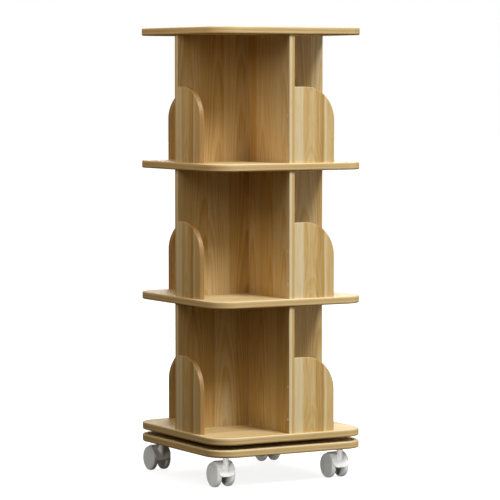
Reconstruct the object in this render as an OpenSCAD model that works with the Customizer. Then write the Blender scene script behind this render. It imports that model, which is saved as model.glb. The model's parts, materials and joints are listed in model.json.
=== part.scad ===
// Rolling shelf unit: three tiers of four compartments that turn on a low base with four casters.
// Origin on the floor under the turntable's axis, front towards -Y, Z up, in millimetres.

/* [Boards] */
// Width and depth of the four shelf boards and of the base board
board_w = 420; // [380:1:480]
// Thickness of the four shelf boards
board_t = 18; // [15:1:25]
// Thickness of the base board
base_t = 18; // [16:1:28]
// Radius of the boards' corners, seen from above
corner_r = 57; // [20:1:80]
// Radius that eases the edge of a board
edge_r = 3; // [1:0.5:5]

/* [Tiers] */
// Clear height of a tier, from one board to the next
tier_h = 306; // [260:1:360]
// Thickness of a partition panel
panel_t = 15; // [13:1:20]
// How far the ends of a partition panel lie inside the boards' edge
panel_inset = 6; // [2:0.5:20]
// Radius that eases the upright edges of a partition panel
panel_edge_r = 1.5; // [0.5:0.25:3]
// Play on each side where two partition panels are halved together
halving_play = 0.15; // [0.1:0.05:0.4]

/* [Stops] */
// Width of a stop, from the partition to its free side
stop_w = 111; // [90:1:140]
// Height of a stop above its shelf
stop_h = 182; // [150:1:230]
// Thickness of a stop
stop_t = 12; // [8:0.5:15]
// Radius of the upper corner of a stop
stop_r = 81; // [40:1:88]
// Radius that eases the edge of a stop
stop_edge_r = 2; // [0.5:0.25:3]
// How far a stop's outer face lies behind the end of the partition panel
stop_setback = 1; // [0.5:0.25:6]
// Height of the lower screw of a stop above its shelf
stop_screw_low = 34; // [20:1:60]
// Height of the upper screw of a stop above its shelf
stop_screw_high = 113; // [80:1:140]
// Length of a stop's screw
stop_screw_length = 40; // [30:1:50]
// Diameter of a stop's screw
stop_screw_d = 3.5; // [3:0.25:4]
// Diameter of the head of a stop's screw
stop_screw_head_d = 7; // [6:0.25:8]

/* [Joinery] */
// Distance of the dowels from the middle of the cross
dowel_r = 60; // [30:1:80]
// Diameter of a dowel
dowel_d = 8; // [6:0.5:10]
// Depth of a dowel in the edge of a partition panel
dowel_depth = 15; // [10:1:25]
// Depth of a dowel in the top board and the bottom shelf
dowel_board_depth = 12; // [8:1:12]
// Distance of the cam bolts from the middle of the cross
cam_r = 120; // [100:1:140]
// Diameter of a cam
cam_d = 15; // [12:0.5:18]
// Depth of a cam's bore in the face of a partition panel
cam_depth = 12; // [10.5:0.5:12]
// Distance of a cam's middle from the edge of its panel
cam_back = 24; // [18:1:34]
// Diameter of a cam bolt
cam_bolt_d = 7; // [5:0.5:8]
// Diameter of the head of a cam bolt, inside the cam
cam_head_d = 6.5; // [5:0.25:8]
// Diameter of the neck below a cam bolt's head
cam_neck_d = 3.5; // [2.5:0.25:4]
// Depth of a cam bolt in the top board and the bottom shelf
cam_board_depth = 11; // [8:1:12]

/* [Turntable] */
// Gap between the base board and the bottom shelf
turntable_h = 11.5; // [10:0.5:18]
// Radius of the circle on which the balls run
race_r = 131; // [100:1:150]
// Diameter of a ball
ball_d = 6.5; // [5:0.25:8]
// Number of balls
ball_count = 24; // [12:1:36]
// Gap between the inner and the outer ring
ring_gap = 3; // [2.5:0.25:4]
// Width of the inner ring
inner_ring_w = 24; // [16:1:40]
// Width of the outer ring
outer_ring_w = 19; // [14:1:26]
// Running gap between a ring and the board that it doesn't carry
ring_play = 0.6; // [0.4:0.1:1.2]
// Gap between a ball and its groove
ball_play = 0.05; // [0.02:0.01:0.08]
// Thickness of the ball cage
cage_t = 1.2; // [0.8:0.1:1.5]
// Height of the ball cage
cage_h = 8.4; // [8:0.2:9]
// Gap between a ball and its pocket in the cage
pocket_play = 0.2; // [0.1:0.05:0.5]
// Number of bolts in the inner ring, and of screws in the outer ring
ring_screw_count = 6; // [4:1:8]
// Diameter of a bolt in the inner ring
ring_bolt_d = 5; // [4:0.5:6]
// Diameter of the head of a bolt in the inner ring
ring_bolt_head_d = 9.5; // [8:0.5:11]
// Height of the head of a bolt in the inner ring
ring_bolt_head_h = 3; // [2:0.25:4]
// Depth of a bolt in the inner ring
ring_bolt_grip = 8; // [5:0.5:8.5]
// Diameter of a screw in the outer ring
ring_screw_d = 4; // [3:0.25:5]
// Diameter of the head of a screw in the outer ring
ring_screw_head_d = 8; // [6:0.25:9]
// Depth of a screw from the outer ring into the bottom shelf
ring_screw_grip = 12; // [8:1:13]

/* [Casters] */
// Distance of a caster's stem from the left or right side of the base board
caster_side_inset = 51; // [45:1:80]
// Distance of a caster's stem from the front or back of the base board
caster_front_inset = 46; // [40:1:80]
// Height from the floor to the underside of the base board
caster_h = 77; // [74:0.5:90]
// Diameter of a wheel
wheel_d = 60; // [50:0.5:62]
// Width of a wheel
wheel_w = 15; // [12:0.5:18]
// Gap between the two wheels of a caster
wheel_gap = 22; // [20:0.5:32]
// Radius of the rounding at the inner edge of a wheel
wheel_inner_edge_r = 5; // [1:0.25:6]
// Radius of the rounding at the outer edge of a wheel
wheel_outer_edge_r = 4; // [2:0.25:5]
// Radius of the domed outer face of a wheel
wheel_dome_r = 220; // [150:10:600]
// Diameter of the joint line round the cap that closes a wheel
cap_d = 50; // [40:0.5:52]
// Width and depth of that joint line
cap_line = 0.6; // [0.4:0.1:1.2]
// Width of the rim round the recess in a wheel's inner side
rim_t = 7; // [5:0.5:10]
// Depth of the recess in a wheel's inner side
wheel_recess = 2.5; // [1:0.25:4]
// Offset of the wheels' axle behind the stem
trail = 25; // [20:0.5:28]
// Diameter of an axle
axle_d = 8; // [6:0.5:10]
// Depth of an axle's end in its wheel
axle_grip = 9; // [6:0.5:9]
// Gap between the wheels and the inside of the hood
hood_play = 1; // [0.8:0.1:3]
// Thickness of the hood
hood_t = 1.8; // [1.5:0.1:4]
// Width of the hood
hood_w = 46.4; // [34:0.2:50]
// How far the front of the hood reaches below the axle
hood_drop = 3; // [0:0.5:12]
// Rise of the hood's rear end above the axle, in degrees
hood_rear_angle = 82; // [60:1:88]
// Radius of the hood's lower corners
hood_corner_r = 17; // [6:0.5:20]
// Radius of the hood's rear corners, seen from above
hood_rear_corner_r = 9; // [3:0.5:14]
// Thickness of the web between the wheels
web_t = 6; // [4:0.5:10]
// Radius of the web behind the hood
web_r = 26; // [20:0.5:29]
// Rise of the web's rear end above the axle, in degrees
web_rear_angle = 20; // [10:1:50]
// Diameter of the hub that holds the axle
hub_d = 18; // [13:0.5:22]
// Diameter of the socket round the stem
socket_d = 14.6; // [13.6:0.2:20]
// Diameter of a stem
stem_d = 8; // [6:0.5:9]
// Depth of a stem in its caster
stem_length = 34; // [24:1:38]
// How far the snap bead stands out from the stem
stem_bead = 0.6; // [0.3:0.1:0.8]
// Thickness of the flange on a stem
flange_t = 1.2; // [0.8:0.1:3]
// Diameter of a threaded socket in the base board
insert_d = 12; // [10:0.5:14]
// Length of a threaded socket
insert_length = 14; // [10:0.5:15]

/* [Fits] */
// Gap round a shaft that turns
running_play = 0.05; // [0.03:0.01:0.08]
// Gap round a piece that sits still in its hole
seat_play = 0.02; // [0.01:0.01:0.05]
// Gap between faces that slide past each other
face_play = 0.3; // [0.2:0.05:0.5]

/* [Hidden] */
$fn = 64;

// Colours of the materials
oak = "#cfae7c";
oak_shade = "#bf9c69";
plastic = "#d9d9d6";
plastic_shade = "#c4c5c3";
steel = "#9da1a5";
aluminium = "#b9bcc0";
beech = "#d8b98a";
brass = "#b79a58";

// Levels, from the floor up
base_z = caster_h;
base_top = base_z + base_t;
bottom_z = base_top + turntable_h;
tier_pitch = tier_h + board_t;
function shelf_z(level) = bottom_z + level * tier_pitch;
function floor_z(tier) = shelf_z(tier - 1) + board_t;
tier_count = 3;

// The cross of partition panels
panel_length = board_w - 2 * panel_inset;
panel_end = panel_length / 2;
stop_face = panel_end - stop_setback;
arms = [0, 90, 180, 270];

// Pieces of the turntable
race_z = base_top + turntable_h / 2;
inner_ring_out = race_r - ring_gap / 2;
inner_ring_in = inner_ring_out - inner_ring_w;
outer_ring_in = race_r + ring_gap / 2;
outer_ring_out = outer_ring_in + outer_ring_w;
ring_h = turntable_h - ring_play;
inner_bolt_r = (inner_ring_in + inner_ring_out) / 2 - ball_d / 4;
outer_screw_r = (outer_ring_in + outer_ring_out) / 2 + ball_d / 4;
screw_head_h = (ring_screw_head_d - ring_screw_d) / 2;
stop_screw_head_h = (stop_screw_head_d - stop_screw_d) / 2;

// Pieces of a caster
wheel_r = wheel_d / 2;
axle_z = wheel_r;
hood_r = wheel_r + hood_play + hood_t;
flange_z = base_z - flange_t;
socket_top = flange_z - face_play;
hub_w = wheel_gap - 2 * face_play;
caster_x = board_w / 2 - caster_side_inset;
caster_y = board_w / 2 - caster_front_inset;
caster_places = [[-1, -1], [1, -1], [-1, 1], [1, 1]];

// Outline of a plate's edge: straight faces, eased at its outer side
module edge_profile(depth, thickness, r) {
    square([depth - r, thickness]);
    translate([0, r]) square([depth, thickness - 2 * r]);
    translate([depth - r, r]) circle(r);
    translate([depth - r, thickness - r]) circle(r);
}

// Straight stretch of a plate, along +Y, with its eased side towards +X
module edge_strip(length, depth, thickness, r) {
    translate([0, length, 0]) rotate([90, 0, 0])
        linear_extrude(length) edge_profile(depth, thickness, r);
}

// Round corner of a plate
module edge_corner(radius, thickness, r) {
    rotate_extrude(angle = 90) edge_profile(radius, thickness, r);
}

// Square board with round corners and eased edges, its underside at z = 0
module rounded_board(thickness) {
    flat = board_w / 2 - corner_r;
    translate([-flat, -flat, 0]) cube([2 * flat, 2 * flat, thickness]);
    for (turn = arms) rotate(turn) {
        translate([flat, -flat, 0]) edge_strip(2 * flat, corner_r, thickness, edge_r);
        translate([flat, flat, 0]) edge_corner(corner_r, thickness, edge_r);
    }
}

// Bores for dowels in the middle of each arm of the cross
module dowel_bores(z, depth) {
    for (turn = arms) rotate(turn) translate([dowel_r, 0, z])
        cylinder(h = depth, d = dowel_d + 2 * seat_play);
}

// Bores for cam bolts in each arm of the cross
module cam_bolt_bores(z, depth) {
    for (turn = arms) rotate(turn) translate([cam_r, 0, z])
        cylinder(h = depth, d = cam_bolt_d + 2 * seat_play);
}

module top_board() {
    color(oak) translate([0, 0, shelf_z(tier_count)]) difference() {
        rounded_board(board_t);
        dowel_bores(-1, dowel_board_depth + 1);
        cam_bolt_bores(-1, cam_board_depth + 1);
    }
}

module middle_shelf(level) {
    color(oak) translate([0, 0, shelf_z(level)]) difference() {
        rounded_board(board_t);
        dowel_bores(-1, board_t + 2);
        cam_bolt_bores(-1, board_t + 2);
    }
}

module bottom_shelf() {
    color(oak) translate([0, 0, bottom_z]) difference() {
        rounded_board(board_t);
        dowel_bores(board_t - dowel_board_depth, dowel_board_depth + 1);
        cam_bolt_bores(board_t - cam_board_depth, cam_board_depth + 1);
        on_circle(outer_screw_r) translate([0, 0, -1])
            cylinder(h = ring_screw_grip + 1, d = ring_screw_d + 2 * seat_play);
    }
}

module base_board() {
    color(oak) translate([0, 0, base_z]) difference() {
        rounded_board(base_t);
        on_circle(inner_bolt_r) translate([0, 0, -1])
            cylinder(h = base_t + 2, d = ring_bolt_d + 2 * seat_play);
        at_casters() translate([0, 0, -1])
            cylinder(h = insert_length + 1 + face_play, d = insert_d + 2 * seat_play);
    }
}

// Copies of a fastener on the turntable, between the arms of the cross
module on_circle(radius) {
    for (i = [0 : ring_screw_count - 1]) rotate((i + 0.25) * 360 / ring_screw_count)
        translate([radius, 0, 0]) children();
}

// Copies at the four stems of the casters
module at_casters() {
    for (place = caster_places) translate([place[0] * caster_x, place[1] * caster_y, 0]) children();
}

// Plan of a partition panel, along X
module panel_plan() {
    half = panel_length / 2 - panel_edge_r;
    translate([-half, -panel_t / 2]) square([2 * half, panel_t]);
    translate([-panel_length / 2, panel_edge_r - panel_t / 2])
        square([panel_length, panel_t - 2 * panel_edge_r]);
    for (x = [-half, half], y = [-1, 1]) translate([x, y * (panel_t / 2 - panel_edge_r)])
        circle(panel_edge_r);
}

// Partition panel along X, its foot at z = 0, with every bore that its joinery needs
module panel(slot_from) {
    difference() {
        linear_extrude(tier_h) panel_plan();
        translate([-panel_t / 2 - halving_play, -panel_t, slot_from])
            cube([panel_t + 2 * halving_play, 2 * panel_t, tier_h / 2 + 1]);
        for (side = [-1, 1], top = [0, 1]) {
            edge = top * tier_h;
            inward = 1 - 2 * top;
            translate([side * dowel_r, 0, edge]) mirror([0, 0, top]) translate([0, 0, -1])
                cylinder(h = dowel_depth + 1 + face_play, d = dowel_d + 2 * seat_play);
            translate([side * cam_r, 0, edge]) mirror([0, 0, top]) translate([0, 0, -1])
                cylinder(h = cam_back + 1, d = cam_bolt_d + 2 * seat_play);
            translate([side * cam_r, panel_t / 2 + 1, edge + inward * cam_back]) rotate([90, 0, 0])
                cylinder(h = cam_depth + 1, d = cam_d + 2 * seat_play);
        }
        for (side = [0, 180]) rotate(side) stop_screw_places() stop_screw(seat_play);
    }
}

// Places of the two screws that hold a stop to the end of a panel along X, on the +X side
module stop_screw_places() {
    for (z = [stop_screw_low, stop_screw_high])
        translate([stop_face - stop_t / 2, -panel_t / 2, z]) rotate([-90, 0, 0]) children();
}

// Countersunk screw, its head flush at z = 0 and its point towards +Z
module stop_screw(play) {
    cylinder(h = stop_screw_head_h, d1 = stop_screw_head_d + 2 * play, d2 = stop_screw_d + 2 * play);
    cylinder(h = stop_screw_length + play, d = stop_screw_d + 2 * play);
}

module front_to_back_panel(tier) {
    color(oak_shade) translate([0, 0, floor_z(tier)]) rotate(-90) panel(tier_h / 2);
}

module side_to_side_panel(tier) {
    color(oak_shade) translate([0, 0, floor_z(tier)]) panel(-1);
}

// Stop lying in the XY plane, its foot along y = 0 and its fixed side along x = 0
module stop_plate() {
    straight_w = stop_w - stop_r;
    straight_h = stop_h - stop_r;
    cube([straight_w, straight_h, stop_t]);
    translate([straight_w, 0, 0]) edge_strip(straight_h, stop_r, stop_t, stop_edge_r);
    translate([straight_w, straight_h, 0]) rotate(90)
        edge_strip(straight_w, stop_r, stop_t, stop_edge_r);
    translate([straight_w, straight_h, 0]) edge_corner(stop_r, stop_t, stop_edge_r);
}

// Stop at the front of a tier; side turns it to the left, the back or the right
module stop(tier, side) {
    color(oak) translate([0, 0, floor_z(tier)]) rotate(-90 * side) difference() {
        translate([panel_t / 2, stop_t - stop_face, 0]) rotate([90, 0, 0]) stop_plate();
        rotate(-90) stop_screw_places() stop_screw(seat_play);
    }
}

module stop_screws() {
    color(steel) for (tier = [1, 2, 3], turn = arms)
        translate([0, 0, floor_z(tier)]) rotate(turn - 90) stop_screw_places() stop_screw(0);
}

module dowels() {
    through = board_t + 2 * dowel_depth;
    single = dowel_board_depth + dowel_depth - face_play;
    color(beech) for (turn = arms) rotate(turn) translate([dowel_r, 0, 0]) {
        translate([0, 0, floor_z(1) + face_play - dowel_board_depth]) cylinder(h = single, d = dowel_d);
        for (level = [1, 2]) translate([0, 0, shelf_z(level) - dowel_depth])
            cylinder(h = through, d = dowel_d);
        translate([0, 0, shelf_z(tier_count) - dowel_depth]) cylinder(h = single, d = dowel_d);
    }
}

// Half of a cam bolt: from a board's face at z = 0 up to the cam, with a neck and a head
module cam_bolt_end() {
    cylinder(h = cam_back - cam_d / 2 - face_play, d = cam_bolt_d);
    cylinder(h = cam_back - cam_head_d / 2, d = cam_neck_d);
    translate([0, 0, cam_back - cam_head_d / 2]) cylinder(h = cam_head_d / 3, d = cam_head_d);
}

module cam_bolts() {
    color(steel) for (turn = arms) rotate(turn) translate([cam_r, 0, 0]) {
        translate([0, 0, floor_z(1)]) {
            cam_bolt_end();
            translate([0, 0, -cam_board_depth + face_play])
                cylinder(h = cam_board_depth - face_play, d = cam_bolt_d);
        }
        for (level = [1, 2]) {
            translate([0, 0, shelf_z(level)]) cylinder(h = board_t, d = cam_bolt_d);
            translate([0, 0, shelf_z(level) + board_t]) cam_bolt_end();
            translate([0, 0, shelf_z(level)]) mirror([0, 0, 1]) cam_bolt_end();
        }
        translate([0, 0, shelf_z(tier_count)]) {
            mirror([0, 0, 1]) cam_bolt_end();
            cylinder(h = cam_board_depth - face_play, d = cam_bolt_d);
        }
    }
}

// Cam that grips the head of a bolt above it, its axis along +Y and its face flush with the panel
module cam() {
    reach = cam_depth - panel_t / 2;
    pocket = cam_head_d + 2 * face_play;
    slot = cam_neck_d + 2 * face_play;
    rotate([-90, 0, 0]) difference() {
        translate([0, 0, face_play - reach]) cylinder(h = cam_depth - face_play, d = cam_d);
        rotate([90, 0, 0]) translate([0, 0, -pocket / 2]) cylinder(h = pocket, d = pocket);
        rotate([90, 0, 0]) cylinder(h = cam_d, d = slot);
        rotate([0, 90, 0]) cylinder(h = cam_d, d = pocket);
        rotate(-90) rotate_extrude(angle = 90) translate([pocket / 2 - 0.4, -slot / 2])
            square([cam_d / 2, slot]);
        translate([0, 0, panel_t / 2]) cube([cam_d * 0.6, 1.6, 3], center = true);
        translate([0, 0, panel_t / 2]) cube([1.6, cam_d * 0.6, 3], center = true);
    }
}

// Every cam of the cross: at both ends of each cam bolt, in the panel's far face
module cams() {
    color(steel) for (tier = [1, 2, 3], across = [0, -90], side = [-1, 1])
        translate([0, 0, floor_z(tier)]) rotate(across) {
            translate([side * cam_r, 0, cam_back]) mirror([0, 0, 1]) cam();
            translate([side * cam_r, 0, tier_h - cam_back]) cam();
        }
}

module turntable_inner_ring() {
    color(aluminium) difference() {
        translate([0, 0, base_top]) rotate_extrude() difference() {
            translate([inner_ring_in, 0]) square([inner_ring_w, ring_h]);
            translate([race_r, turntable_h / 2]) circle(ball_d / 2 + ball_play);
        }
        on_circle(inner_bolt_r) translate([0, 0, base_top - 1])
            cylinder(h = ring_bolt_grip + 1 + face_play, d = ring_bolt_d + 2 * seat_play);
    }
}

module turntable_outer_ring() {
    color(aluminium) difference() {
        translate([0, 0, base_top + ring_play]) rotate_extrude() difference() {
            translate([outer_ring_in, 0]) square([outer_ring_w, ring_h]);
            translate([race_r, turntable_h / 2 - ring_play]) circle(ball_d / 2 + ball_play);
        }
        on_circle(outer_screw_r) translate([0, 0, base_top + ring_play]) outer_ring_screw(seat_play);
    }
}

module ball_cage() {
    color(oak_shade) difference() {
        translate([0, 0, race_z - cage_h / 2]) difference() {
            cylinder(h = cage_h, r = race_r + cage_t / 2);
            translate([0, 0, -1]) cylinder(h = cage_h + 2, r = race_r - cage_t / 2);
        }
        at_balls() rotate([0, 90, 0])
            cylinder(h = 4 * cage_t, d = ball_d + 2 * pocket_play, center = true);
    }
}

module bearing_balls() {
    color(steel) at_balls() sphere(d = ball_d);
}

module at_balls() {
    for (i = [0 : ball_count - 1]) rotate(i * 360 / ball_count)
        translate([race_r, 0, race_z]) children();
}

module inner_ring_bolts() {
    color(steel) on_circle(inner_bolt_r) {
        translate([0, 0, base_z - ring_bolt_head_h]) cylinder(h = ring_bolt_head_h, d = ring_bolt_head_d);
        translate([0, 0, base_z]) cylinder(h = base_t + ring_bolt_grip, d = ring_bolt_d);
    }
}

// Countersunk screw with its head at the outer ring's underside
module outer_ring_screw(play) {
    cylinder(h = screw_head_h, d1 = ring_screw_head_d + 2 * play, d2 = ring_screw_d + 2 * play);
    cylinder(h = ring_h + ring_screw_grip - face_play, d = ring_screw_d + 2 * play);
}

module outer_ring_screws() {
    color(steel) on_circle(outer_screw_r) translate([0, 0, base_top + ring_play]) outer_ring_screw(0);
}

module caster_sockets() {
    color(brass) at_casters() translate([0, 0, base_z]) difference() {
        cylinder(h = insert_length, d = insert_d);
        translate([0, 0, -1]) cylinder(h = insert_length + 2, d = stem_d + 2 * seat_play);
    }
}

// Half section of a stem below its flange, with the bead that snaps into the caster
module stem_section(play, end_play) {
    translate([0, -stem_length - end_play])
        square([stem_d / 2 + play, stem_length + end_play + flange_t]);
    translate([stem_d / 2 - 1, -stem_length * 0.7]) circle(1 + stem_bead + play);
}

module caster_stems() {
    color(steel) at_casters() {
        translate([0, 0, base_z]) cylinder(h = insert_length - face_play, d = stem_d);
        translate([0, 0, flange_z]) cylinder(h = flange_t, d = socket_d);
        translate([0, 0, flange_z]) rotate_extrude() stem_section(0, 0);
    }
}

// Sector in the YZ plane from a rear angle over the top to the hood's front, the axle at the origin
module hood_fan(rear_angle) {
    reach = 2 * hood_r;
    front = 180 + asin(hood_drop / hood_r);
    polygon(concat([[0, 0]], [for (i = [0 : 4])
        let (a = rear_angle + (front - rear_angle) * i / 4)
            [reach * cos(a), reach * sin(a)]]));
}

module hood_side() {
    intersection() {
        difference() {
            circle(hood_r);
            circle(hood_r - hood_t);
        }
        hood_fan(hood_rear_angle);
    }
}

module web_side() {
    intersection() {
        circle(hood_r - hood_t / 2);
        hood_fan(hood_rear_angle);
    }
    intersection() {
        circle(web_r);
        hood_fan(web_rear_angle);
    }
    circle(d = hub_d);
}

// Front view of the hood: straight sides and two round lower corners, z = 0 at the axle
module hood_front() {
    low = hood_drop;
    half = hood_w / 2;
    translate([-half, hood_corner_r - low]) square([hood_w, 2 * hood_r]);
    translate([hood_corner_r - half, -low]) square([hood_w - 2 * hood_corner_r, 2 * hood_r]);
    for (x = [-1, 1]) translate([x * (half - hood_corner_r), hood_corner_r - low])
        circle(hood_corner_r);
}

// Top view of the hood: straight sides and two round rear corners, y = 0 at the axle
module hood_plan() {
    half = hood_w / 2;
    rear = hood_r * cos(hood_rear_angle);
    translate([-half, -2 * hood_r]) square([hood_w, 2 * hood_r + rear - hood_rear_corner_r]);
    translate([hood_rear_corner_r - half, -2 * hood_r])
        square([hood_w - 2 * hood_rear_corner_r, 2 * hood_r + rear]);
    for (x = [-1, 1]) translate([x * (half - hood_rear_corner_r), rear - hood_rear_corner_r])
        circle(hood_rear_corner_r);
}

module along_x(length) {
    rotate([90, 0, 90]) translate([0, 0, -length / 2]) linear_extrude(length) children();
}

// Moulded body of a caster: hood, web, hub and stem socket, with its stem axis on z
module caster_hood() {
    color(plastic) difference() {
        union() {
            translate([0, trail, axle_z]) {
                intersection() {
                    along_x(hood_w) hood_side();
                    translate([0, 2 * hood_r, 0]) rotate([90, 0, 0])
                        linear_extrude(4 * hood_r) hood_front();
                    translate([0, 0, -2 * hood_r]) linear_extrude(4 * hood_r) hood_plan();
                }
                along_x(web_t) web_side();
                along_x(hub_w) circle(d = hub_d);
            }
            translate([0, 0, axle_z]) cylinder(h = socket_top - axle_z, d = socket_d);
        }
        translate([0, trail, axle_z]) along_x(2 * wheel_gap) circle(d = axle_d + 2 * seat_play);
        translate([0, 0, flange_z]) rotate_extrude() stem_section(running_play, face_play);
    }
}

module axle() {
    color(steel) translate([0, trail, axle_z])
        along_x(wheel_gap + 2 * (axle_grip - face_play)) circle(d = axle_d);
}

// Half section of a wheel: x is the radius, y the distance from the wheel's inner side
module wheel_section() {
    r = wheel_r;
    inner = wheel_inner_edge_r;
    outer = wheel_outer_edge_r;
    dome_y = wheel_w - wheel_dome_r;
    edge_y = dome_y + sqrt(pow(wheel_dome_r - outer, 2) - pow(r - outer, 2));
    dome_end = (r - outer) * wheel_dome_r / (wheel_dome_r - outer);
    cap_y = dome_y + sqrt(pow(wheel_dome_r, 2) - pow(cap_d / 2, 2));
    difference() {
        union() {
            square([r - inner, edge_y]);
            translate([0, inner]) square([r, edge_y - inner]);
            translate([r - inner, inner]) circle(inner);
            translate([r - outer, edge_y]) circle(outer);
            intersection() {
                translate([0, dome_y]) circle(wheel_dome_r, $fn = 360);
                square([dome_end, wheel_w]);
            }
        }
        translate([cap_d / 2, cap_y - cap_line]) square([cap_line, 2 * cap_line]);
        translate([hub_d / 2, -1]) square([r - rim_t - hub_d / 2, wheel_recess + 1]);
        translate([0, -1]) square([axle_d / 2 + running_play, axle_grip + 1]);
    }
}

// Wheel on the +X side of its caster; side -1 puts it on the other
module wheel(side) {
    color(plastic_shade) translate([0, trail, axle_z]) rotate([0, side * 90, 0])
        translate([0, 0, wheel_gap / 2]) rotate_extrude() wheel_section();
}

// A caster's piece at its place: front or back, left or right
module at_caster(x_side, y_side) {
    translate([x_side * caster_x, y_side * caster_y, 0]) children();
}

top_board();
middle_shelf(2);  // upper_shelf
middle_shelf(1);  // lower_shelf
bottom_shelf();
base_board();
front_to_back_panel(1);  // front_to_back_panel_1
side_to_side_panel(1);  // side_to_side_panel_1
front_to_back_panel(2);  // front_to_back_panel_2
side_to_side_panel(2);  // side_to_side_panel_2
front_to_back_panel(3);  // front_to_back_panel_3
side_to_side_panel(3);  // side_to_side_panel_3
stop(1, 0);  // front_stop_1
stop(1, 1);  // left_stop_1
stop(1, 2);  // back_stop_1
stop(1, 3);  // right_stop_1
stop(2, 0);  // front_stop_2
stop(2, 1);  // left_stop_2
stop(2, 2);  // back_stop_2
stop(2, 3);  // right_stop_2
stop(3, 0);  // front_stop_3
stop(3, 1);  // left_stop_3
stop(3, 2);  // back_stop_3
stop(3, 3);  // right_stop_3
stop_screws();
dowels();
cam_bolts();
cams();
turntable_inner_ring();
turntable_outer_ring();
ball_cage();
bearing_balls();
inner_ring_bolts();
outer_ring_screws();
caster_sockets();
caster_stems();
at_caster(-1, -1) caster_hood();  // front_left_caster_hood
at_caster(-1, -1) axle();  // front_left_axle
at_caster(-1, -1) wheel(-1);  // front_left_wheel_a
at_caster(-1, -1) wheel(1);  // front_left_wheel_b
at_caster(1, -1) caster_hood();  // front_right_caster_hood
at_caster(1, -1) axle();  // front_right_axle
at_caster(1, -1) wheel(-1);  // front_right_wheel_a
at_caster(1, -1) wheel(1);  // front_right_wheel_b
at_caster(-1, 1) caster_hood();  // back_left_caster_hood
at_caster(-1, 1) axle();  // back_left_axle
at_caster(-1, 1) wheel(-1);  // back_left_wheel_a
at_caster(-1, 1) wheel(1);  // back_left_wheel_b
at_caster(1, 1) caster_hood();  // back_right_caster_hood
at_caster(1, 1) axle();  // back_right_axle
at_caster(1, 1) wheel(-1);  // back_right_wheel_a
at_caster(1, 1) wheel(1);  // back_right_wheel_b
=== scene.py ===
"""Dresses the rolling shelf unit: wood finishes, moulded casters, metal fittings, floor, light and camera."""

import json
import logging
import math
from dataclasses import dataclass, fields
from enum import Enum
from functools import cache, partial, reduce

import bmesh
import bpy
from mathutils import Matrix, Vector

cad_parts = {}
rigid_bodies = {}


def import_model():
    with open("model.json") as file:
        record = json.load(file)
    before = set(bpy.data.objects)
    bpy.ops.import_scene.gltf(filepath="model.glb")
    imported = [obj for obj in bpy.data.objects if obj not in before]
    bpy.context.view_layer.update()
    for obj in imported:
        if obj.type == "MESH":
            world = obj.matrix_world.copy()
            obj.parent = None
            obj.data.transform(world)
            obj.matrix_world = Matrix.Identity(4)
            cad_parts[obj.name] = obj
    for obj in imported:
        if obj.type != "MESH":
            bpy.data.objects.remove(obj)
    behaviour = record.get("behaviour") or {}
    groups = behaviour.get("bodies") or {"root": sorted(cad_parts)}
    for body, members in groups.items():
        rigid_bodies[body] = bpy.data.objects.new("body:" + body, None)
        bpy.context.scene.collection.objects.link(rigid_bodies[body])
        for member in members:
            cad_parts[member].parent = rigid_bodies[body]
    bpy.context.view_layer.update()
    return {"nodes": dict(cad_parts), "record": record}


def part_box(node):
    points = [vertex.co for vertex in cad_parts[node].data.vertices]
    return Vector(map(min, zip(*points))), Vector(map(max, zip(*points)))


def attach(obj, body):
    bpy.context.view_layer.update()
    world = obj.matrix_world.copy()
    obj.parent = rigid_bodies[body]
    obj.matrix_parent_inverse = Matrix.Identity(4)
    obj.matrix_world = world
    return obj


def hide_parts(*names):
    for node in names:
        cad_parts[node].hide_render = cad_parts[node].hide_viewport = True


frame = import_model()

log = logging.getLogger("shelf_unit")
Triple = tuple[float, float, float]
Colour = Triple
Socket = bpy.types.NodeSocket
MM = 0.001
WELD = 0.002 * MM
NODES: dict[str, bpy.types.Object] = frame["nodes"]
BODY_OF: dict[str, str] = {
    node: body for body, group in frame["record"]["behaviour"]["bodies"].items() for node in group}


def srgb(red: float, green: float, blue: float) -> Colour:
    """Turns an sRGB colour of 0 to 255 into linear values.

    Args:
        red: Red, 0 to 255.
        green: Green, 0 to 255.
        blue: Blue, 0 to 255.

    Returns:
        The linear colour.
    """
    values = []
    for channel in (red, green, blue):
        share = channel / 255
        values.append(share / 12.92 if share <= 0.04045 else ((share + 0.055) / 1.055) ** 2.4)
    return values[0], values[1], values[2]


class Side(Enum):
    """The four sides of a tier, in the order in which the stops run round it."""

    FRONT = 0
    LEFT = 1
    BACK = 2
    RIGHT = 3


class Way(Enum):
    """How a partition panel runs, with the turn about Z, in degrees, that lays its width along X."""

    SIDE_TO_SIDE = 0.0
    FRONT_TO_BACK = 90.0


class Recess(Enum):
    """Drive of a screw's head."""

    CROSS = "cross"
    HEX = "hex"


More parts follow.
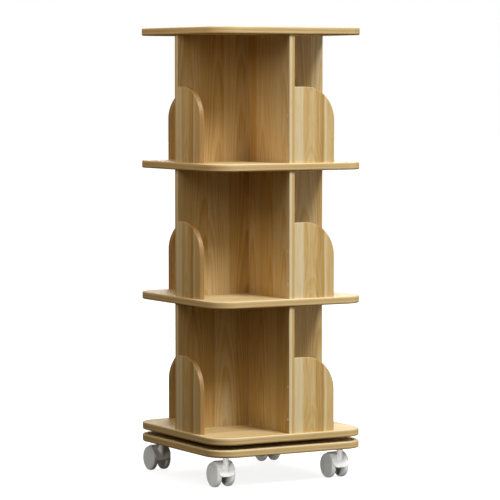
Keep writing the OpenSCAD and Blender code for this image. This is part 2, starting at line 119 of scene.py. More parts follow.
class NodeBuilder:
    """Fills one node tree, from left to right."""

    def __init__(self, tree: bpy.types.NodeTree) -> None:
        """Takes the tree that it fills."""
        self.tree = tree

    def feed(self, target: Socket, value: object) -> None:
        """Links a socket into an input, or writes a plain value there.

        Args:
            target: The input.
            value: The socket or the value.
        """
        if isinstance(value, bpy.types.NodeSocket):
            self.tree.links.new(value, target)
        elif target.type == "RGBA":
            target.default_value = (*value, 1.0)
        else:
            target.default_value = value

    def add(self, kind: str, settings: dict[str, object] | None = None, **inputs: object) -> bpy.types.Node:
        """Adds one node.

        Args:
            kind: The node's type.
            settings: Its properties.
            **inputs: Its inputs, with spaces written as underscores.

        Returns:
            The node.
        """
        node = self.tree.nodes.new(kind)
        for key, value in (settings or {}).items():
            setattr(node, key, value)
        for key, value in inputs.items():
            self.feed(node.inputs[key.replace("_", " ")], value)
        return node

    def math(self, kind: str, *values: Socket | float) -> Socket:
        """Adds one arithmetic step.

        Args:
            kind: What it does, such as ADD or MULTIPLY_ADD.
            *values: What goes in.

        Returns:
            The result.
        """
        node = self.add("ShaderNodeMath", {"operation": kind})
        for target, value in zip(node.inputs, values):
            self.feed(target, value)
        return node.outputs[0]

    def ramp(self, value: Socket, stops: tuple[tuple[float, Colour], ...]) -> Socket:
        """Adds a colour ramp.

        Args:
            value: What drives it, 0 to 1.
            stops: Places and colours.

        Returns:
            The colour.
        """
        node = self.add("ShaderNodeValToRGB", Fac=value)
        elements = node.color_ramp.elements
        while len(elements) < len(stops):
            elements.new(1.0)
        for element, (place, colour) in zip(elements, stops):
            element.position = place
            element.color = (*colour, 1.0)
        return node.outputs["Color"]


class ShaderTree(NodeBuilder):
    """Builds one material's nodes."""

    def __init__(self, name: str) -> None:
        """Starts a material with its shader.

        Args:
            name: The material's name.
        """
        self.material = bpy.data.materials.new(name)
        self.material.use_nodes = True
        super().__init__(self.material.node_tree)
        self.tree.nodes.clear()
        self.shader = self.add("ShaderNodeBsdfPrincipled")
        self.add("ShaderNodeOutputMaterial", Surface=self.shader.outputs["BSDF"])
        self.coordinates = self.add("ShaderNodeTexCoord")

    def place(self, turn_z: float = 0.0, scale: Triple = (1.0, 1.0, 1.0),
              shift: Triple = (0.0, 0.0, 0.0)) -> Socket:
        """Object coordinates, turned about Z and scaled.

        Args:
            turn_z: Turn about Z in degrees.
            scale: Scale along the turned axes.
            shift: Shift after the scale.

        Returns:
            The coordinates.
        """
        turned = self.coordinates.outputs["Object"]
        if turn_z:
            turn = (0.0, 0.0, math.radians(turn_z))
            turned = self.add("ShaderNodeMapping", Vector=turned, Rotation=turn).outputs["Vector"]
        return self.add("ShaderNodeMapping", Vector=turned, Scale=scale, Location=shift).outputs["Vector"]

    def axis(self, vector: Socket, name: str) -> Socket:
        """One component, X, Y or Z, of a vector."""
        return self.add("ShaderNodeSeparateXYZ", Vector=vector).outputs[name]

    def normal(self, name: str) -> Socket:
        """How squarely a face looks along X, Y or Z, 0 to 1."""
        return self.math("ABSOLUTE", self.axis(self.coordinates.outputs["Normal"], name))

    def reach(self, vector: Socket) -> Socket:
        """Length of a vector."""
        return self.add("ShaderNodeVectorMath", {"operation": "LENGTH"}, Vector=vector).outputs["Value"]

    def chances(self, number: Socket) -> tuple[Socket, Socket, Socket]:
        """Draws three values that follow from a number as if by chance.

        Args:
            number: The number.

        Returns:
            The values, 0 to 1.
        """
        drawn = self.add("ShaderNodeTexWhiteNoise", {"noise_dimensions": "1D"}, W=number)
        split = self.add("ShaderNodeSeparateColor", Color=drawn.outputs["Color"])
        return split.outputs[0], split.outputs[1], split.outputs[2]

    def total(self, *values: Socket | float) -> Socket:
        """Sum of several values."""
        return reduce(partial(self.math, "ADD"), values)

    def centred(self, value: Socket, size: float) -> Socket:
        """A value from 0 to 1, centred on 0 and scaled."""
        return self.math("MULTIPLY", self.math("SUBTRACT", value, 0.5), size)

    def squared(self, value: Socket, size: float) -> Socket:
        """The square of a value, scaled."""
        return self.math("MULTIPLY", self.math("MULTIPLY", value, value), size)

    def blend(self, first: Socket, second: Socket, share: Socket) -> Socket:
        """Goes over from one value to another."""
        return self.math("MULTIPLY_ADD", self.math("SUBTRACT", second, first), share, first)

    def noise(self, scale: Triple, shift: Triple = (0.0, 0.0, 0.0), detail: float = 2.0,
              roughness: float = 0.6, warp: float = 0.0, turn_z: float = 0.0) -> Socket:
        """Smooth noise, about 0 to 1, on object coordinates turned and scaled as place has them.

        Args:
            scale: Scale along the turned axes, in periods per metre.
            shift: Shift after the scale.
            detail: Number of finer octaves.
            roughness: Weight of the finer octaves.
            warp: Distortion.
            turn_z: Turn about Z in degrees.

        Returns:
            The noise.
        """
        made = self.add("ShaderNodeTexNoise", Vector=self.place(turn_z, scale, shift), Scale=1.0,
                        Detail=detail, Roughness=roughness, Distortion=warp)
        return made.outputs["Fac"]

    def spread(self, value: Socket, low: float, high: float, to_low: float = 0.0,
               to_high: float = 1.0) -> Socket:
        """Maps the range from low to high smoothly onto that from to_low to to_high, and clamps it."""
        made = self.add("ShaderNodeMapRange", {"interpolation_type": "SMOOTHSTEP"}, Value=value, From_Min=low,
                        From_Max=high, To_Min=to_low, To_Max=to_high)
        return made.outputs["Result"]

    def tones(self, value: Socket, steps: tuple[tuple[float, float], ...]) -> Socket:
        """A ramp of plain tones, given as places and tones."""
        return self.ramp(value, tuple((place, (tone, tone, tone)) for place, tone in steps))

    def mix(self, share: Socket | float, first: Socket | Colour, second: Socket | Colour) -> Socket:
        """Mixes two colours.

        Args:
            share: Share of the second.
            first: The first colour.
            second: The second colour.

        Returns:
            The mixed colour.
        """
        made = self.add("ShaderNodeMix", {"data_type": "RGBA"}, Factor=share)
        colours = [target for target in made.inputs if target.type == "RGBA"]
        for target, colour in zip(colours, (first, second)):
            self.feed(target, colour)
        return next(result for result in made.outputs if result.type == "RGBA")

    def bump(self, height: Socket, depth: float, strength: float = 1.0) -> None:
        """Raises the surface by a height map, its depth in metres."""
        relief = self.add("ShaderNodeBump", Strength=strength, Distance=depth, Height=height)
        self.feed(self.shader.inputs["Normal"], relief.outputs["Normal"])

    def finish(self, **inputs: Socket | float | Colour) -> bpy.types.Material:
        """Feeds the shader's inputs, with spaces written as underscores.

        Args:
            **inputs: Sockets or values of the shader's inputs.

        Returns:
            The finished material.
        """
        for key, value in inputs.items():
            self.feed(self.shader.inputs[key.replace("_", " ")], value)
        return self.material


@dataclass(frozen=True)
class OakTone:
    """Colours of the oak print: pale strips, tan field, dark lines, pores, and the stops' rims, which are
    darker than the faces as painted shade.
    """

    pale: Colour = srgb(219, 201, 158)
    tan: Colour = srgb(201, 167, 102)
    dark: Colour = srgb(166, 125, 61)
    pore: Colour = srgb(140, 104, 58)
    # The stops' rims: a darker brown than the faces, as painted shade.
    rim: Colour = srgb(152, 119, 71)


@dataclass(frozen=True)
class OakFinish:
    """Lacquered oak print, with the grain running along one axis of the piece.

    Attributes:
        name: The material's name.
        turn: Turn about Z, in degrees, that lays the piece's width along X.
        tone: The colours.
        seed: Shift of the pattern, so that pieces differ.
        grain: Scale of the fibre across and along the grain, in periods per metre.
        pores: Noise at which a pore starts and is darkest.
        pore_share: How strongly the pores show.
        early: Where a growth ring starts to darken and is darkest, 0 to 1.
        late: Where it starts to turn pale and is pale, 0 to 1.
        relief: Depth of the grain's relief, in metres.
        gloss: Roughness of the lacquer where it is glossiest and dullest.
    """

    name: str
    turn: float = 0.0
    tone: OakTone = OakTone()
    seed: float = 0.0
    grain: tuple[float, float] = (95.0, 1.9)
    pores: tuple[float, float] = (0.60, 0.72)
    pore_share: float = 0.30
    early: tuple[float, float] = (0.15, 0.85)
    late: tuple[float, float] = (0.88, 1.0)
    relief: float = 0.12 * MM
    gloss: tuple[float, float] = (0.40, 0.52)

    def figure(self, tree: ShaderTree) -> tuple[Socket, Socket]:
        """Fibre and pores with the grain along Z.

        Args:
            tree: The material's tree.

        Returns:
            The fibre, centred on 0, and the pores, 0 to 1.
        """
        across, along = self.grain
        broad = tree.noise((across, across, along), (self.seed, 0.0, 0.0), 3.0, 0.6, 0.4, self.turn)
        fine = tree.noise((across * 6, across * 6, along * 5), (0.0, self.seed, 0.0), turn_z=self.turn)
        dots = tree.noise((across * 9, across * 9, along * 9), (self.seed, 2.0, 0.0), 1.0, 0.4,
                          turn_z=self.turn)
        fibre = tree.total(tree.centred(broad, 1.5), tree.centred(fine, 0.8))
        return fibre, tree.spread(dots, *self.pores)

    def rings(self, tree: ShaderTree, count: Socket) -> Socket:
        """Growth rings, each of which darkens slowly up to a thin line of late wood.

        Args:
            tree: The material's tree.
            count: How many rings lie before each point.

        Returns:
            The darkness, 0 to 1.
        """
        phase = tree.math("FRACT", count)
        late = tree.spread(phase, *self.late, 1.0, 0.0)
        return tree.math("MULTIPLY", tree.spread(phase, *self.early), late)

    def colour(self, tree: ShaderTree, field_tone: Socket, pores: Socket) -> Socket:
        """Colour of the print from its tone, 0 pale to 1 dark, and its pores."""
        base = tree.ramp(field_tone, ((0.0, self.tone.pale), (0.5, self.tone.tan), (1.0, self.tone.dark)))
        return tree.mix(tree.math("MULTIPLY", pores, self.pore_share), base, self.tone.pore)

    def close(self, tree: ShaderTree, colour: Socket, height: Socket, sheen: Socket) -> bpy.types.Material:
        """Ends the tree with the lacquer's sheen and the grain's relief.

        Args:
            tree: The material's tree.
            colour: The print's colour.
            height: Height map of the relief.
            sheen: What makes the lacquer uneven, about 0 to 1.

        Returns:
            The material.
        """
        tree.bump(height, self.relief, 0.6)
        rough = tree.spread(sheen, 0.2, 0.8, *self.gloss)
        return tree.finish(Base_Color=colour, Roughness=rough, Specular_IOR_Level=0.45)


@dataclass(frozen=True)
class StavedOak(OakFinish):
    """Oak print of staves side by side, each with its own tone and its own flame of growth rings.

    Attributes:
        stave: Width of a stave, in metres.
        first: Count of staves at the middle of the unit, before the seed is added.
        stave_tones: Tones of the palest and the darkest stave, 0 pale to 1 dark.
        stray: Room for a flame's axis about the middle of its stave, in staves.
        bow: Rings from the flame's axis to a stave's width away.
        climb: Rings to a metre along the grain.
        apart: Rings by which staves are shifted against each other, at most.
        bend: Rings by which slow noise bends the flame.
        ring_tone: How much a ring darkens.
        joint: Distances at which a joint starts to darken and is darkest, in metres.
        joint_tone: How much it darkens.
    """

    stave: float = 0.065
    first: float = 40.37
    stave_tones: tuple[float, float] = (0.10, 0.50)
    stray: float = 1.3
    bow: float = 10.0
    climb: float = 7.0
    apart: float = 9.0
    bend: float = 3.0
    ring_tone: float = 0.26
    joint: tuple[float, float] = (0.9 * MM, 0.2 * MM)
    joint_tone: float = 0.3

    def staves(self, tree: ShaderTree, across: Socket, along: Socket, sway: Socket) -> Socket:
        """Tone of the staves.

        Args:
            tree: The material's tree.
            across: Place across the grain, in metres.
            along: Place along the grain, in metres.
            sway: Slow noise, 0 to 1, that bends the rings.

        Returns:
            The tone, 0 pale to 1 dark.
        """
        count = tree.math("MULTIPLY_ADD", across, 1 / self.stave, self.first + self.seed)
        place = tree.math("SUBTRACT", tree.math("FRACT", count), 0.5)
        tone, middle, start = tree.chances(tree.math("FLOOR", count))
        bow = tree.squared(tree.math("SUBTRACT", place, tree.centred(middle, self.stray)), self.bow)
        climb = tree.math("MULTIPLY_ADD", start, self.apart, tree.math("MULTIPLY", along, self.climb))
        rings = self.rings(tree, tree.total(bow, climb, tree.centred(sway, self.bend)))
        edges = [0.5 - distance / self.stave for distance in self.joint]
        joint = tree.spread(tree.math("ABSOLUTE", place), *edges, 0.0, self.joint_tone)
        base = tree.spread(tone, 0.0, 1.0, *self.stave_tones)
        return tree.total(base, tree.math("MULTIPLY", rings, self.ring_tone), joint)


@dataclass(frozen=True)
class BoardOak(StavedOak):
    """Oak print of a level board: staves along X on its faces, and edging with long streaks round its sides,
    painted dark at its bottom as shade and pale at its top as a highlight.

    Attributes:
        floor: Height of the board's underside, in metres.
        thick: The board's thickness, in metres.
        level: How squarely a face looks up where the edging ends and the staves are whole.
        bands: Heights up the edging, 0 to 1, and their tones, 0 pale to 1 dark, which paint shade low down, a
            pale line above it, and a highlight high up.
    """

    stave: float = 0.068
    floor: float = 0.0
    thick: float = 0.018
    level: tuple[float, float] = (0.85, 0.97)
    # Painted light: dark at the bottom for shade, pale at the top for a highlight.
    bands: tuple[tuple[float, float], ...] = (
        (0.0, 1.0), (0.16, 0.92), (0.27, 0.48), (0.34, 0.40), (0.48, 0.66), (0.66, 0.62), (0.80, 0.32),
        (1.0, 0.14))

    def edging(self, tree: ShaderTree) -> Socket:
        """Tone of the edging, which streaks along the board and is painted dark towards its lower edge as
        shade and pale towards its upper edge as a highlight.

        Args:
            tree: The material's tree.

        Returns:
            The tone, 0 pale to 1 dark.
        """
        up = tree.axis(tree.place(), "Z")
        height = tree.math("MULTIPLY_ADD", up, 1 / self.thick, -self.floor / self.thick)
        run = tree.noise((4.0, 4.0, 210.0), (self.seed, 0.0, 0.0), 3.0)
        thread = tree.noise((16.0, 16.0, 900.0), (0.0, self.seed, 0.0))
        wave = tree.noise((9.0, 9.0, 0.0), (0.0, 0.0, self.seed), roughness=0.5)
        # Painted light: the bands darken the edging's bottom as shade and lighten its top as a highlight.
        painted_band = tree.tones(tree.total(height, tree.centred(wave, 0.16)), self.bands)
        return tree.total(painted_band, tree.centred(run, 0.75), tree.centred(thread, 0.5))

    def build(self) -> bpy.types.Material:
        """Builds the material.

        Returns:
            The material.
        """
        tree = ShaderTree(self.name)
        level = tree.spread(tree.normal("Z"), *self.level)
        place = tree.place()
        sway = tree.noise((2.6, 11.0, 0.0), (self.seed, 0.0, 0.0), roughness=0.5)
        broad = tree.noise((2.4, 120.0, 20.0), (self.seed, 0.0, 0.0), 3.0, warp=0.4)
        fine = tree.noise((14.0, 620.0, 60.0), (0.0, self.seed, 0.0))
        staves = self.staves(tree, tree.axis(place, "Y"), tree.axis(place, "X"), sway)
        face = tree.total(staves, tree.centred(broad, 0.45), tree.centred(fine, 0.5))
        tone = tree.blend(self.edging(tree), face, level)
        dots = tree.noise((30.0, 1100.0, 1100.0), (self.seed, 2.0, 0.0), 1.0, 0.4)
        pores = tree.math("MULTIPLY", tree.spread(dots, *self.pores), level)
        return self.close(tree, self.colour(tree, tone, pores), tone, broad)


@dataclass(frozen=True)
class PanelOak(StavedOak):
    """Oak print of a partition panel: upright staves, with a two-tone strip on its narrow ends.

    Attributes:
        reach: Distance of the ends from the middle, in metres.
        strip: How far inside the ends the strip starts and is whole, in metres.
        half_tones: Tones of the strip's two halves.
        seam: Half the width over which one half goes over into the other, in metres.
        fibre: Strength of the fibre on the faces and on the ends.
    """

    stave: float = 0.062
    reach: float = 0.204
    strip: tuple[float, float] = (1.5 * MM, 1.0 * MM)
    half_tones: tuple[float, float] = (-0.06, 0.48)
    seam: float = 1.2 * MM
    fibre: tuple[float, float] = (0.40, 0.25)

    def build(self) -> bpy.types.Material:
        """Builds the material.

        Returns:
            The material.
        """
        tree = ShaderTree(self.name)
        fibre, pores = self.figure(tree)
        place = tree.place(self.turn)
        across = tree.axis(place, "X")
        sway = tree.noise((11.0, 0.0, 2.4), (self.seed, 0.0, 0.0), roughness=0.5, turn_z=self.turn)
        staves = self.staves(tree, across, tree.axis(place, "Z"), sway)
        face = tree.math("MULTIPLY_ADD", fibre, self.fibre[0], staves)
        ends = tree.spread(tree.math("ABSOLUTE", across), *(self.reach - inside for inside in self.strip))
        halves = tree.spread(tree.axis(place, "Y"), -self.seam, self.seam, *self.half_tones)
        tone = tree.blend(face, tree.math("MULTIPLY_ADD", fibre, self.fibre[1], halves), ends)
        return self.close(tree, self.colour(tree, tone, pores), fibre, sway)


@dataclass(frozen=True)
class StopOak(OakFinish):
    """Oak print of a stop: strips round a flamed field, and plain edging on its rim, painted darker brown as
    shade, in metres.

    Attributes:
        start: Distance of the stop from the middle of the unit.
        width: Its width.
        floor: Height of the lowest stop's foot.
        pitch: Height from one tier to the next.
        slide: Shift of the print towards the partition, in millimetres.
        strips: Places across the stop, in millimetres, and their tones, 0 pale to 1 dark.
        wander: How far the strips wander.
        sides: Where the flamed field starts and ends, each with its change.
        axis: Middle of the flame and half its width.
        waist: Height of the flame's waist, and the height over which it opens.
        rings_out: Rings from its axis to half its width.
        rings_up: Rings from its waist to where it has opened.
        bend: Rings by which slow noise bends it.
        first_ring: Number of the ring in the middle of the waist.
        mean_ring: Mean darkness of the rings.
        ring_tone: How much a ring darkens.
        fibre: Strength of the fibre on the strips, and what the field adds to it.
        flat: How squarely a face looks out where the rim ends and the face is whole.
    """

    grain: tuple[float, float] = (105.0, 3.0)
    start: float = 0.0075
    width: float = 0.111
    floor: float = 0.1245
    pitch: float = 0.324
    slide: float = 0.0
    strips: tuple[tuple[float, float], ...] = (
        (0.0, 0.20), (3.0, 0.12), (15.0, 0.10), (19.5, -0.02), (22.5, 0.10), (26.0, 0.42), (30.0, 0.46),
        (44.0, 0.36), (56.0, 0.38), (60.0, 0.58), (69.0, 0.68), (78.5, 0.86), (81.0, 0.60), (84.5, 0.02),
        (87.0, 0.14), (91.0, 0.38), (101.0, 0.40), (111.0, 0.46))
    wander: float = 0.008
    sides: tuple[tuple[float, float], tuple[float, float]] = ((0.024, 0.029), (0.078, 0.083))
    axis: tuple[float, float] = (0.046, 0.027)
    waist: tuple[float, float] = (0.120, 0.080)
    rings_out: float = 2.6
    rings_up: float = -0.8
    bend: float = 2.4
    first_ring: float = 20.4
    mean_ring: float = 0.35
    ring_tone: float = 0.15
    fibre: tuple[float, float] = (0.36, 0.24)
    flat: tuple[float, float] = (0.55, 0.75)

    def flame(self, tree: ShaderTree, across: Socket, height: Socket, sway: Socket) -> Socket:
        """Rings of the flame, which is narrow at its waist and opens upwards and downwards.

        Args:
            tree: The material's tree.
            across: Place across the stop, in metres.
            height: Height above the shelf, in metres.
            sway: Slow noise, 0 to 1.

        Returns:
            The rings' darkness, 0 to 1.
        """
        middle, half = self.axis
        waist, opening = self.waist
        aside = tree.math("MULTIPLY_ADD", across, 1 / half, -middle / half)
        rise = tree.math("MULTIPLY_ADD", height, 1 / opening, -waist / opening)
        shape = tree.total(tree.squared(aside, self.rings_out), tree.squared(rise, self.rings_up))
        return self.rings(tree, tree.total(shape, tree.centred(sway, self.bend), self.first_ring))

    def field(self, tree: ShaderTree, fibre: Socket) -> Socket:
        """Tone of the stop's face, from its strips, the flame between them and the fibre.

        Args:
            tree: The material's tree.
            fibre: The fibre, centred on 0.

        Returns:
            The tone, 0 pale to 1 dark.
        """
        place = tree.place(self.turn)
        sway = tree.noise((22.0, 0.0, 7.0), (self.seed, 0.0, 0.0), roughness=0.55, turn_z=self.turn)
        shift = self.slide * MM - self.start
        across = tree.total(tree.axis(place, "X"), tree.centred(sway, self.wander), shift)
        share = tree.math("MULTIPLY", across, 1 / self.width)
        strips = tree.tones(share, tuple((spot * MM / self.width, tone) for spot, tone in self.strips))
        above = tree.math("SUBTRACT", tree.axis(place, "Z"), self.floor)
        rings = self.flame(tree, across, tree.math("MODULO", above, self.pitch), sway)
        begin, end = self.sides
        inside = tree.math("MULTIPLY", tree.spread(across, *begin), tree.spread(across, *end, 1.0, 0.0))
        plain, more = self.fibre
        darker = tree.math("SUBTRACT", rings, self.mean_ring)
        flamed = tree.math("MULTIPLY_ADD", darker, self.ring_tone, tree.math("MULTIPLY", fibre, more))
        return tree.math("MULTIPLY_ADD", flamed, inside, tree.math("MULTIPLY_ADD", fibre, plain, strips))

    def build(self) -> bpy.types.Material:
        """Builds the material.

        Returns:
            The material.
        """
        tree = ShaderTree(self.name)
        fibre, pores = self.figure(tree)
        face = self.colour(tree, self.field(tree, fibre), pores)
        flat = tree.spread(tree.normal("X" if self.turn % 180 else "Y"), *self.flat)
        # Painted shade: the rims take a darker brown than the faces.
        rim = tree.mix(tree.math("MULTIPLY_ADD", fibre, 0.3, 0.35), self.tone.rim, self.tone.dark)
        return self.close(tree, tree.mix(flat, rim, face), fibre, fibre)


@dataclass(frozen=True)
class BeechFinish:
    """Bare turned beech of the dowels, with short flecks."""

    colour: Colour = srgb(214, 184, 140)
    fleck: Colour = srgb(178, 140, 96)

    def build(self) -> bpy.types.Material:
        """Builds the material.

        Returns:
            The material.
        """
        tree = ShaderTree("turned_beech")
        grain = tree.noise((500.0, 500.0, 18.0), detail=3.0)
        flecks = tree.spread(tree.noise((1500.0, 1500.0, 260.0), detail=1.0, roughness=0.5), 0.6, 0.7)
        tone = tree.mix(tree.spread(grain, 0.3, 0.7, 0.0, 0.6), self.colour, self.fleck)
        tree.bump(grain, 0.1 * MM, 0.5)
        colour = tree.mix(tree.math("MULTIPLY", flecks, 0.4), tone, self.fleck)
        return tree.finish(Base_Color=colour, Roughness=0.7)


@dataclass(frozen=True)
class PlasticFinish:
    """Moulded plastic, with a faint spark-eroded texture and uneven gloss.

    Attributes:
        name: The material's name.
        colour: Its colour.
        soil: Colour of the slight darkening in patches.
        roughness: Its mean roughness.
        uneven: How far the roughness goes up and down.
        clouds: Size of its patches, in periods per metre.
        grain: Size of its texture, in periods per metre.
        relief: Depth of its texture, in metres.
    """

    name: str
    colour: Colour
    soil: Colour
    roughness: float = 0.38
    uneven: float = 0.06
    clouds: float = 38.0
    grain: float = 1600.0
    relief: float = 0.05 * MM

    def build(self) -> bpy.types.Material:
        """Builds the material.

        Returns:
            The material.
        """
        tree = ShaderTree(self.name)
        clouds = tree.noise((self.clouds,) * 3, detail=3.0)
        tree.bump(tree.noise((self.grain,) * 3), self.relief, 0.35)
        colour = tree.mix(tree.spread(clouds, 0.35, 0.75, 0.0, 0.5), self.colour, self.soil)
        rough = tree.spread(clouds, 0.2, 0.8, self.roughness - self.uneven, self.roughness + self.uneven)
        return tree.finish(Base_Color=colour, Roughness=rough, Specular_IOR_Level=0.5)


@dataclass(frozen=True)
class MetalFinish:
    """Plated or turned metal, with fine marks round or across it.

    Attributes:
        name: The material's name.
        colour: Its colour.
        roughness: Its mean roughness.
        marks: Scale of its marks along X, Y and Z, in periods per metre.
        clouds: Size of its patches, in periods per metre.
        shade: What the darker patches keep of the colour.
        relief: Depth of its marks, in metres.
    """

    name: str
    colour: Colour
    roughness: float = 0.3
    marks: Triple = (900.0, 900.0, 900.0)
    clouds: float = 60.0
    shade: Colour = (0.78, 0.78, 0.76)
    relief: float = 0.03 * MM

    def build(self) -> bpy.types.Material:
        """Builds the material.

        Returns:
            The material.
        """
        tree = ShaderTree(self.name)
        marks = tree.noise(self.marks)
        clouds = tree.noise((self.clouds,) * 3, detail=3.0)
        tree.bump(marks, self.relief, 0.3)
        darker = tuple(value * share for value, share in zip(self.colour, self.shade))
        colour = tree.mix(tree.spread(clouds, 0.3, 0.8), self.colour, darker)
        rough = tree.spread(marks, 0.2, 0.8, self.roughness - 0.08, self.roughness + 0.1)
        return tree.finish(Base_Color=colour, Metallic=1.0, Roughness=rough)


@dataclass(frozen=True)
class Fastener:
    """One screw or bolt, its outer face at z = 0 and its shank towards +Z, in metres.

    Attributes:
        recess: Shape of its drive.
        head_radius: Radius of the head where it is widest.
        face_radius: Radius of the head's outer face.
        chamfer: Height from the outer face to the widest part.
        head_height: Height of the whole head.
        neck_radius: Radius of the head where it meets the shank.
        shank_radius: Radius of the shank.
        length: Length from the outer face to the point.
        drive: Width of the recess.
        drive_depth: Depth of the recess.
    """

    recess: Recess
    head_radius: float
    face_radius: float
    chamfer: float
    head_height: float
    neck_radius: float
    shank_radius: float
    length: float
    drive: float
    drive_depth: float


class GeometryTree(NodeBuilder):
    """Builds one Geometry Nodes tree with named sizes."""

    def __init__(self, name: str) -> None:
        """Starts a tree with one geometry in and one out.

        Args:
            name: The tree's name.
        """
        super().__init__(bpy.data.node_groups.new(name, "GeometryNodeTree"))
        for way in ("INPUT", "OUTPUT"):
            self.tree.interface.new_socket("Geometry", in_out=way, socket_type="NodeSocketGeometry")
        self.entry = self.add("NodeGroupInput")
        self.identifiers: dict[str, str] = {}

    def size(self, name: str) -> Socket:
        """Adds a named size, in metres.

        Args:
            name: Its name, with spaces written as underscores.

        Returns:
            Its socket.
        """
        label = name.replace("_", " ").capitalize()
        item = self.tree.interface.new_socket(label, in_out="INPUT", socket_type="NodeSocketFloat")
        self.identifiers[name] = item.identifier
        return self.entry.outputs[label]

    def lifted(self, geometry: Socket, height: Socket | float) -> Socket:
        """Moves geometry along Z."""
        place = self.add("ShaderNodeCombineXYZ", Z=height).outputs["Vector"]
        return self.add("GeometryNodeTransform", Geometry=geometry, Translation=place).outputs["Geometry"]

    def joined(self, *parts: Socket) -> Socket:
        """Joins several geometries.

        Args:
            *parts: The geometries.

        Returns:
            The whole.
        """
        join = self.add("GeometryNodeJoinGeometry")
        for part in reversed(parts):
            self.feed(join.inputs["Geometry"], part)
        return join.outputs["Geometry"]


@dataclass
class FastenerSet:
    """Alike fasteners of one body, made in one go by a Geometry Nodes tree.

    Attributes:
        name: Name of the piece.
        node: The CAD piece that it stands for.
        kind: The fastener.
        places: Places of the outer faces, in metres.
        turns: Euler turn of each, in radians.
        material: Its finish.
        head_sides: Number of sides round a head.
        shank_sides: Number of sides round a shank.
        cross_arm: Width of a cross recess's arm, as a share of its length.
        hex_corner: Radius to a hexagon's corners, as a share of its width across the flats.
    """

    name: str
    node: str
    kind: Fastener
    places: list[Vector]
    turns: list[Vector]
    material: bpy.types.Material
    head_sides: int = 40
    shank_sides: int = 24
    cross_arm: float = 0.24
    hex_corner: float = 0.5774

    def points(self) -> bpy.types.Object:
        """Makes the points on which the fasteners stand.

        Returns:
            The object, with the turn of each point as an attribute.
        """
        mesh = bpy.data.meshes.new(self.name)
        mesh.from_pydata([tuple(place) for place in self.places], [], [])
        turn = mesh.attributes.new("turn", "FLOAT_VECTOR", "POINT")
        for value, angles in zip(turn.data, self.turns):
            value.vector = angles
        return added(self.name, mesh)

    def cutter(self, tree: GeometryTree, drive: Socket, depth: Socket) -> Socket:
        """Makes the solid that is cut out of the head.

        Args:
            tree: The tree.
            drive: Width of the recess.
            depth: Its depth.

        Returns:
            The cutter's geometry.
        """
        tall = tree.math("MULTIPLY", depth, 2.0)
        if self.kind.recess is Recess.HEX:
            radius = tree.math("MULTIPLY", drive, self.hex_corner)
            return tree.add("GeometryNodeMeshCylinder", Vertices=6, Radius=radius, Depth=tall).outputs["Mesh"]
        thin = tree.math("MULTIPLY", drive, self.cross_arm)
        bars = []
        for width, length in ((thin, drive), (drive, thin)):
            size = tree.add("ShaderNodeCombineXYZ", X=width, Y=length, Z=tall)
            bars.append(tree.add("GeometryNodeMeshCube", Size=size.outputs["Vector"]).outputs["Mesh"])
        return tree.joined(*bars)

    def fastener(self, tree: GeometryTree) -> Socket:
        """Makes one fastener: a head of two cones with its recess, and a shank.

        Args:
            tree: The tree.

        Returns:
            The fastener's geometry.
        """
        size = {item.name: tree.size(item.name) for item in fields(Fastener) if item.type is float}
        face = tree.add("GeometryNodeMeshCone", Vertices=self.head_sides, Radius_Top=size["head_radius"],
                        Radius_Bottom=size["face_radius"], Depth=size["chamfer"]).outputs["Mesh"]
        rest = tree.math("SUBTRACT", size["head_height"], size["chamfer"])
        under = tree.add("GeometryNodeMeshCone", Vertices=self.head_sides, Radius_Top=size["neck_radius"],
                         Radius_Bottom=size["head_radius"], Depth=rest).outputs["Mesh"]
        head = tree.add("GeometryNodeMeshBoolean", {"operation": "UNION"})
        for part in (face, tree.lifted(under, size["chamfer"])):
            tree.feed(head.inputs["Mesh 2"], part)
        cut = tree.add("GeometryNodeMeshBoolean", {"operation": "DIFFERENCE"}, Mesh_1=head.outputs["Mesh"],
                       Mesh_2=self.cutter(tree, size["drive"], size["drive_depth"]))
        reach = tree.math("SUBTRACT", size["length"], size["head_height"])
        shank = tree.add("GeometryNodeMeshCylinder", Vertices=self.shank_sides, Radius=size["shank_radius"],
                         Depth=reach)
        middle = tree.math("MULTIPLY_ADD", reach, 0.5, size["head_height"])
        return tree.joined(cut.outputs["Mesh"], tree.lifted(shank.outputs["Mesh"], middle))

    def build(self) -> None:
        """Makes the fasteners, in place of their CAD piece."""
        tree = GeometryTree(self.name)
        turn = tree.add("GeometryNodeInputNamedAttribute", {"data_type": "FLOAT_VECTOR"}, Name="turn")
        copies = tree.add("GeometryNodeInstanceOnPoints", Points=tree.entry.outputs["Geometry"],
                          Instance=self.fastener(tree), Rotation=turn.outputs["Attribute"])
        real = tree.add("GeometryNodeRealizeInstances", Geometry=copies.outputs["Instances"])
        dressed = tree.add("GeometryNodeSetMaterial", Geometry=real.outputs["Geometry"],
                           Material=self.material)
        tree.add("NodeGroupOutput", Geometry=dressed.outputs["Geometry"])
        self.settle(tree)

    def settle(self, tree: GeometryTree) -> None:
        """Runs the tree, keeps its mesh and binds it to its body.

        Args:
            tree: The finished tree.
        """
        piece = self.points()
        modifier = piece.modifiers.new("fasteners", "NODES")
        modifier.node_group = tree.tree
        for name, identifier in tree.identifiers.items():
            modifier[identifier] = float(getattr(self.kind, name))
        apply_modifiers(piece)
        bind(piece, self.node)
        log.info("%s: %d fasteners", self.name, len(self.places))


def added(name: str, data: bpy.types.ID) -> bpy.types.Object:
    """Makes an object and sets it in the scene.

    Args:
        name: The object's name.
        data: Its mesh, light or camera.

    Returns:
        The object.
    """
    made = bpy.data.objects.new(name, data)
    bpy.context.scene.collection.objects.link(made)
    return made


def apply_modifiers(model: bpy.types.Object) -> None:
    """Turns what an object's modifiers make into its mesh.

    Args:
        model: The object.
    """
    bpy.context.view_layer.update()
    evaluated = model.evaluated_get(bpy.context.evaluated_depsgraph_get())
    mesh = bpy.data.meshes.new_from_object(evaluated)
    model.modifiers.clear()
    model.data = mesh


